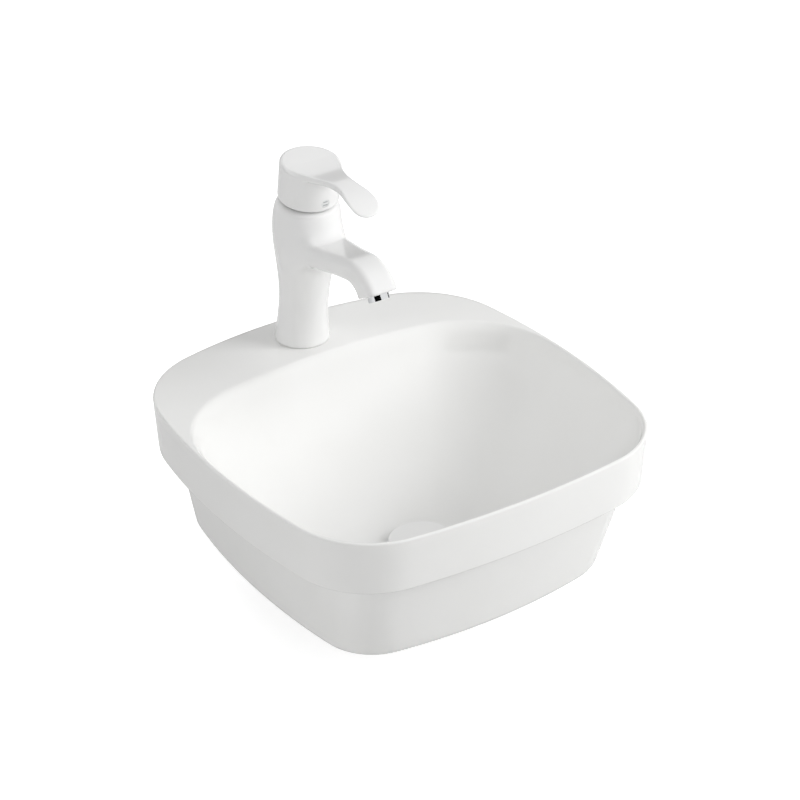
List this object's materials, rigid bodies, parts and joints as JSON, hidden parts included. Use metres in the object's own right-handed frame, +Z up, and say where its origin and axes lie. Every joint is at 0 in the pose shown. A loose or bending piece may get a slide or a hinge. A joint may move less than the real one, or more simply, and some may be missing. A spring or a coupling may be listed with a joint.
{
  "type": "countertop basin",
  "caption": "White ceramic semi-recessed countertop basin with a soft square bowl, a tap deck with a single-lever mixer, and a click waste with a domed cover.",
  "frame": {"origin": "middle of the rim's outline, on the worktop plane under the rim band", "axes": "+Z up, -Y towards the user, +X to the user's right when facing the basin"},
  "size_m": [0.3798, 0.3902, 0.3901],
  "materials": {
    "ceramic": "gloss white glaze",
    "white_coat": "gloss white coating on cast brass",
    "white_cover": "gloss white coating on brass",
    "chrome": "polished",
    "brass": "machined",
    "steel": "zinc plated",
    "rubber": "matt",
    "disc_ceramic": "lapped",
    "plastic": "moulded",
    "index": "gloss"
  },
  "bodies": {
    "fixed": {"basin_shell": "ceramic", "tap_body": "white_coat", "tap_base_seal": "rubber", "fixing_stud": "steel", "clamp_gasket": "rubber", "clamp_plate": "steel", "fixing_nut": "brass", "cartridge_base": "plastic", "cartridge_seals": "rubber", "fixed_disc": "disc_ceramic", "cartridge_housing": "plastic", "cartridge_nut": "brass", "trim_ring": "chrome", "aerator_housing": "chrome", "aerator_insert": "plastic", "aerator_washer": "rubber", "waste_body": "chrome", "waste_flange_seal": "rubber", "waste_lower_seal": "rubber", "waste_back_nut": "brass", "click_housing": "plastic", "click_spring": "steel"},
    "swivel": {"spindle_bush": "plastic", "spindle_pin": "steel"},
    "lever": {"lever_handle": "white_coat", "lever_spindle": "brass", "lever_set_screw": "steel", "index_plug": "index"},
    "discs": {"moving_disc": "disc_ceramic", "disc_carrier": "plastic"},
    "cover": {"waste_cover": "white_cover", "cover_insert": "brass", "plug_seal": "rubber", "click_plunger": "brass"}
  },
  "joints": [
    {"name": "lever_swivel", "type": "hinge", "parent": "fixed", "child": "swivel", "pos_m": [0, 0.14052, 0.19074], "axis": [0, -0.1045, 0.9945], "range_deg": [-50, 50]},
    {"name": "lever_tilt", "type": "hinge", "parent": "swivel", "child": "lever", "pos_m": [0, 0.14052, 0.19074], "axis": [-1, 0, 0], "range_deg": [0, 17]},
    {"name": "disc_slide", "type": "slide", "parent": "swivel", "child": "discs", "axis": [0, -0.9945, -0.1045], "range_m": [0, 0.0036]},
    {"name": "cover_slide", "type": "slide", "parent": "fixed", "child": "cover", "axis": [0, 0, 1], "range_m": [0, 0.009], "deforming": ["click_spring"]}
  ],
  "couplings": [
    {"joint": "disc_slide", "follows": "lever_tilt", "m_per_rad": 0.0119}
  ]
}
